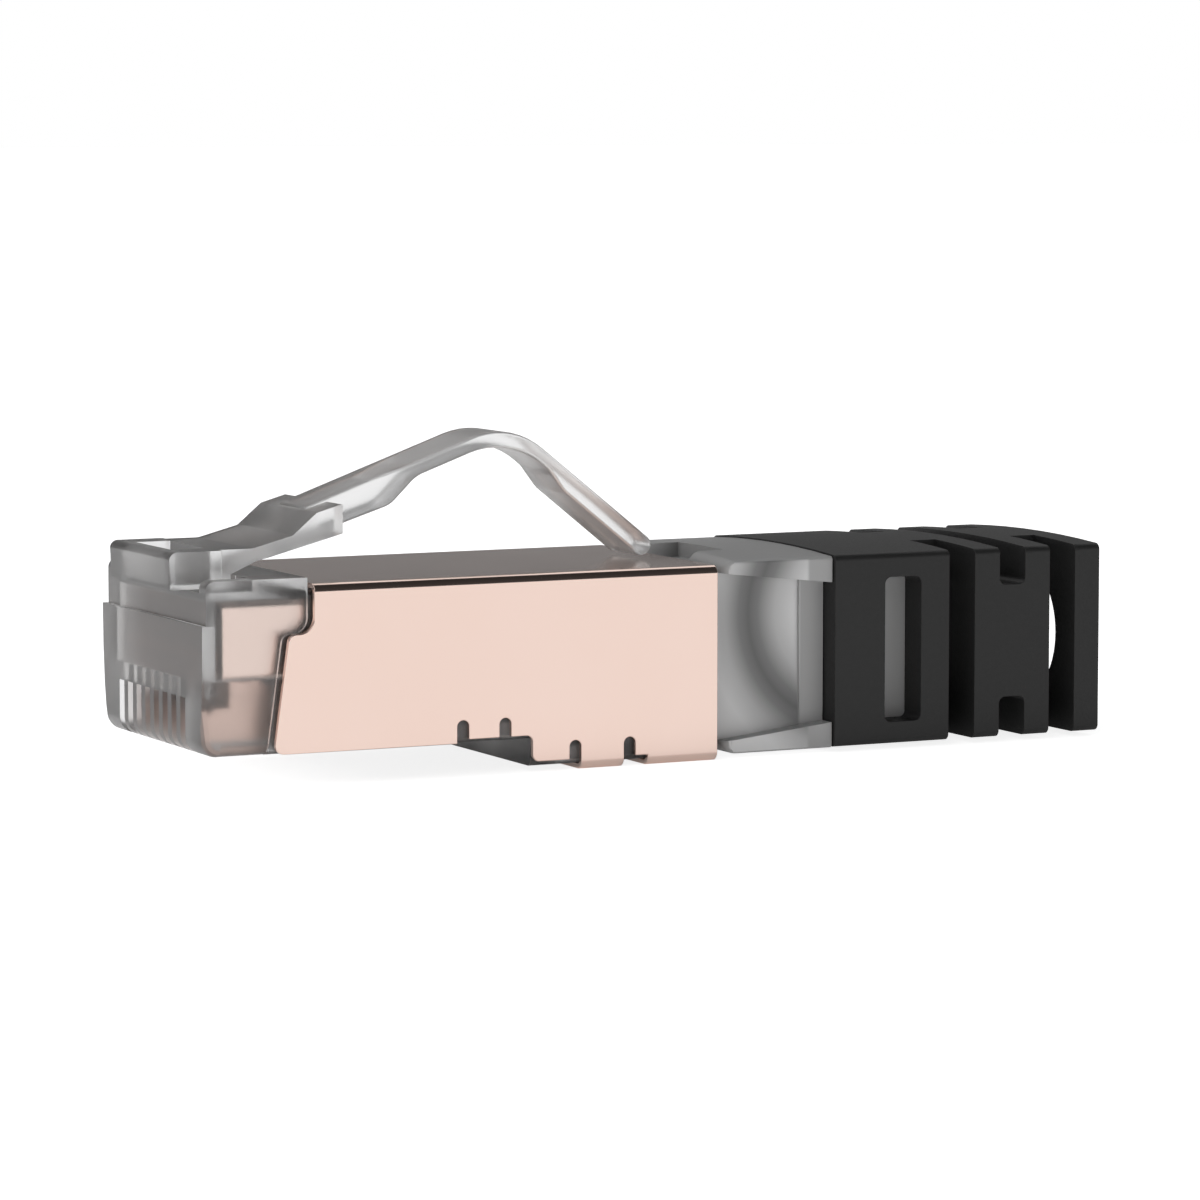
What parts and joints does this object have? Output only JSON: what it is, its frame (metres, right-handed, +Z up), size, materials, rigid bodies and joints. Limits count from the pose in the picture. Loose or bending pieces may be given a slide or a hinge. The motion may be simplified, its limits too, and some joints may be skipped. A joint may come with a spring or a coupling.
{
  "type": "rj45 modular plug",
  "caption": "Modular data plug with a clear nose, arched release latch, folded copper-coloured shield, frosted strain-relief insert and slotted black boot.",
  "frame": {"origin": "middle of the bounding box's underside, below the latch side of the plug", "axes": "+X along the plug from the nose to the boot, +Y across its width, +Z up towards the latch"},
  "size_m": [0.0444, 0.0118, 0.0145],
  "materials": {
    "clear_plastic": "clear polycarbonate with a faint grey tint",
    "contact_metal": "gold-plated phosphor bronze",
    "shield_metal": "satin copper-coloured plate",
    "frosted_plastic": "frosted translucent plastic",
    "boot_plastic": "matt black flexible plastic"
  },
  "bodies": {
    "plug": {"plug_housing": "clear_plastic", "contact_1": "contact_metal", "contact_2": "contact_metal", "contact_3": "contact_metal", "contact_4": "contact_metal", "contact_5": "contact_metal", "contact_6": "contact_metal", "contact_7": "contact_metal", "contact_8": "contact_metal", "load_bar": "shield_metal", "shield": "shield_metal", "strain_relief_insert": "frosted_plastic", "boot": "boot_plastic"},
    "arm": {"latch_arm": "clear_plastic"},
    "tail": {"latch_tail": "clear_plastic"}
  },
  "joints": [
    {"name": "latch_press", "type": "hinge", "parent": "plug", "child": "arm", "pos_m": [-0.01804, 0, 0.00979], "axis": [0, 1, 0], "range_deg": [0, 14], "stiffness_Nm_per_rad": 0.05},
    {"name": "tail_fold", "type": "hinge", "parent": "arm", "child": "tail", "pos_m": [-0.00419, 0, 0.01365], "axis": [0, 1, 0], "range_deg": [-47.6, 0]}
  ],
  "couplings": [
    {"joint": "tail_fold", "follows": "latch_press", "ratio": -3.4}
  ]
}
